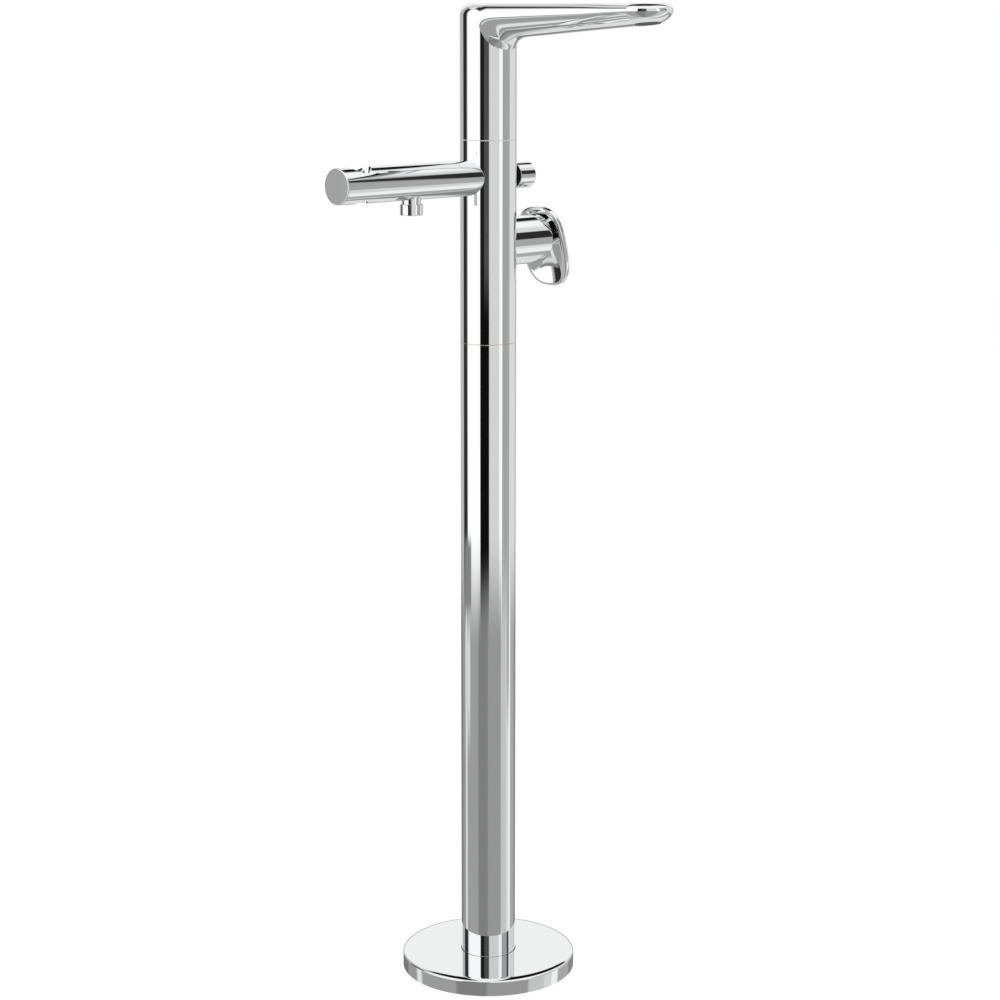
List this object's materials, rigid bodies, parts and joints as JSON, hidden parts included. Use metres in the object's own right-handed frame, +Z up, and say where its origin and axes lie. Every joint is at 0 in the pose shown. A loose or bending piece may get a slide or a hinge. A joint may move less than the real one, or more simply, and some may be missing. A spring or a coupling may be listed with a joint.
{
  "type": "floor standing bath filler",
  "caption": "Chromed floor standing bath filler: round foot, slim column, flat swivelling spout, lever mixer, diverter knob and side arm with hose outlet and handset cradle.",
  "frame": {"origin": "on the floor, under the column's axis, at the centre of the foot's underside", "axes": "+Z up along the column; the spout points along -Y, the handset arm along -X, the lever and the diverter knob along +X"},
  "size_m": [0.3114, 0.346, 1.0665],
  "materials": {
    "chrome": "mirror polished",
    "steel": "turned",
    "brass": "machined",
    "rubber": "matte",
    "black_plastic": "moulded",
    "grey_plastic": "moulded",
    "pale_plastic": "moulded",
    "braided_hose": "braided"
  },
  "bodies": {
    "stand": {"base_cover": "chrome", "column_tube": "chrome", "body_shell": "chrome", "lever_sleeve": "chrome", "arm_body": "chrome", "arm_end_cap": "chrome", "hose_outlet_neck": "chrome", "hose_outlet_collar": "chrome", "floor_plate": "steel", "foot_flange": "steel", "foot_screws": "steel", "hose_ferrules": "steel", "cartridge_cap": "steel", "spout_circlip": "steel", "hot_inlet_union": "brass", "cold_inlet_union": "brass", "coupling_sleeve": "brass", "hose_tails": "brass", "valve_block": "brass", "cartridge_nut": "brass", "arm_root_plug": "brass", "arm_nipple": "brass", "arm_water_tube": "brass", "outlet_block": "brass", "spout_spigot": "brass", "cover_seal": "rubber", "cartridge_seals": "rubber", "spigot_o_rings": "rubber", "diverter_gland": "black_plastic", "cartridge": "pale_plastic", "check_valve": "pale_plastic", "glide_ring": "pale_plastic", "hot_hose": "braided_hose", "cold_hose": "braided_hose"},
    "spout": {"spout_body": "chrome", "spout_core": "brass", "aerator_ring": "grey_plastic", "aerator_insert": "grey_plastic", "aerator_seal": "rubber"},
    "lever_carrier": {"cartridge_carrier": "pale_plastic", "stem_pivot_pin": "steel"},
    "lever": {"lever_stem": "steel", "lever": "chrome", "lever_screw": "steel"},
    "diverter": {"diverter_piston": "brass", "piston_o_ring": "rubber", "piston_washer": "rubber", "diverter_spring": "steel", "diverter_stem": "steel", "knob_insert": "black_plastic", "diverter_knob": "chrome"}
  },
  "joints": [
    {"name": "spout_swivel", "type": "hinge", "parent": "stand", "child": "spout", "pos_m": [0, 0, 0.925], "axis": [0, 0, 1], "range_deg": [-60, 60]},
    {"name": "lever_turn", "type": "hinge", "parent": "stand", "child": "lever_carrier", "pos_m": [0.032, 0, 0.8153], "axis": [1, 0, 0], "range_deg": [-50, 50]},
    {"name": "lever_lift", "type": "hinge", "parent": "lever_carrier", "child": "lever", "pos_m": [0.032, 0, 0.8153], "axis": [0, -1, 0], "range_deg": [0, 15]},
    {"name": "diverter_pull", "type": "slide", "parent": "stand", "child": "diverter", "axis": [1, 0, 0], "range_m": [0, 0.008], "stiffness_N_per_m": 600, "springref_m": -0.004}
  ]
}
